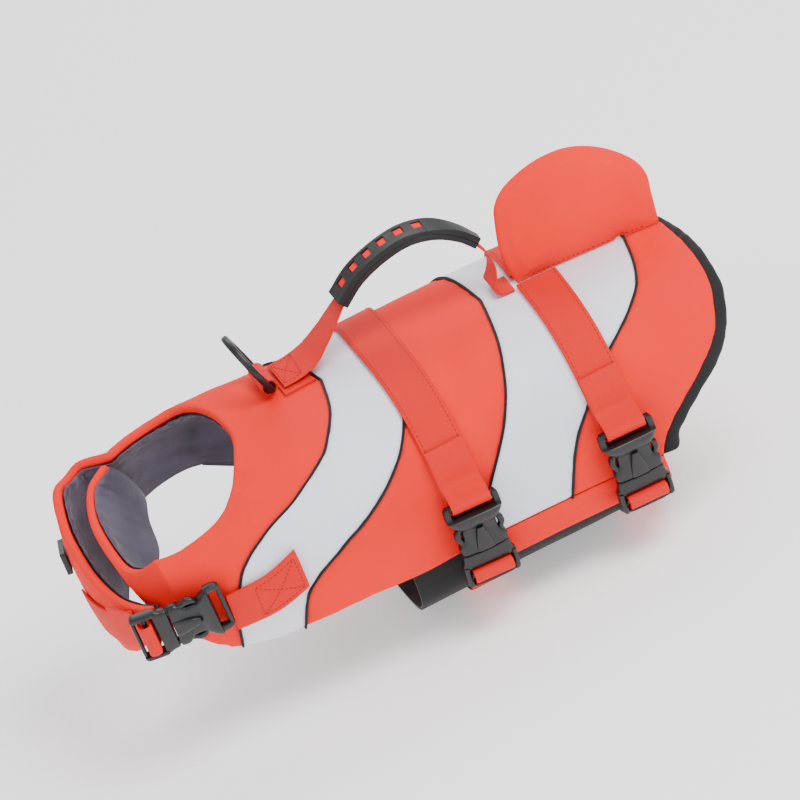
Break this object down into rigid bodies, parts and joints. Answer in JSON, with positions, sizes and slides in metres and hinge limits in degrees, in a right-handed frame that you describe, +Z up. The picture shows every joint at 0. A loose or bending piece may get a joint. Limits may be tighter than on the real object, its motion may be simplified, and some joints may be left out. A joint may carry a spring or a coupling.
{
  "type": "dog life jacket",
  "caption": "Padded dog life jacket in its worn form, with a back fin, a carry handle, a leash ring and side-release buckles.",
  "frame": {"origin": "underside of the back on the jacket's middle line, where the dog's back carries it, over the front girth strap", "axes": "+X towards the tail, head end at -X, +Z up, near side with the girth buckles at -Y"},
  "size_m": [0.4786, 0.2281, 0.247],
  "materials": {
    "orange_cloth": "woven nylon over foam",
    "white_cloth": "fine woven reflective cloth",
    "black_cloth": "woven",
    "lining_cloth": "smooth woven",
    "webbing": "ribbed webbing",
    "moulded_plastic": "satin",
    "moulded_rubber": "matt"
  },
  "bodies": {
    "jacket": {"white_band_front": "white_cloth", "middle_panel": "orange_cloth", "white_band_rear": "white_cloth", "rear_panel": "orange_cloth", "rear_binding": "black_cloth", "piping_1": "black_cloth", "piping_2": "black_cloth", "piping_3": "black_cloth", "piping_4": "black_cloth", "front_panel": "orange_cloth", "front_lining": "lining_cloth", "hem_band_near": "orange_cloth", "hem_band_far": "orange_cloth", "belly_panel": "black_cloth", "strap_front": "webbing", "strap_rear_near": "webbing", "strap_rear_far": "webbing", "buckle_front_female": "moulded_plastic", "buckle_front_male": "moulded_plastic", "buckle_rear_female": "moulded_plastic", "buckle_rear_male": "moulded_plastic", "belly_strap_front": "webbing", "belly_strap_rear": "webbing", "strap_end_front": "webbing", "strap_end_rear": "webbing", "chest_strap": "webbing", "buckle_chest_female": "moulded_plastic", "buckle_chest_male": "moulded_plastic", "handle_patch": "webbing", "handle_webbing": "webbing", "handle_grip": "moulded_rubber", "ring_tunnel": "webbing", "fin": "orange_cloth", "flap_tab": "webbing", "flap_loop": "webbing", "flap_keeper": "moulded_plastic"},
    "leash_ring": {"leash_ring": "moulded_plastic"}
  },
  "joints": [
    {"name": "leash_ring_swing", "type": "hinge", "parent": "jacket", "child": "leash_ring", "pos_m": [-0.068, 0.0275, 0.01576], "axis": [0, 1, 0], "range_deg": [-60, 85]}
  ]
}
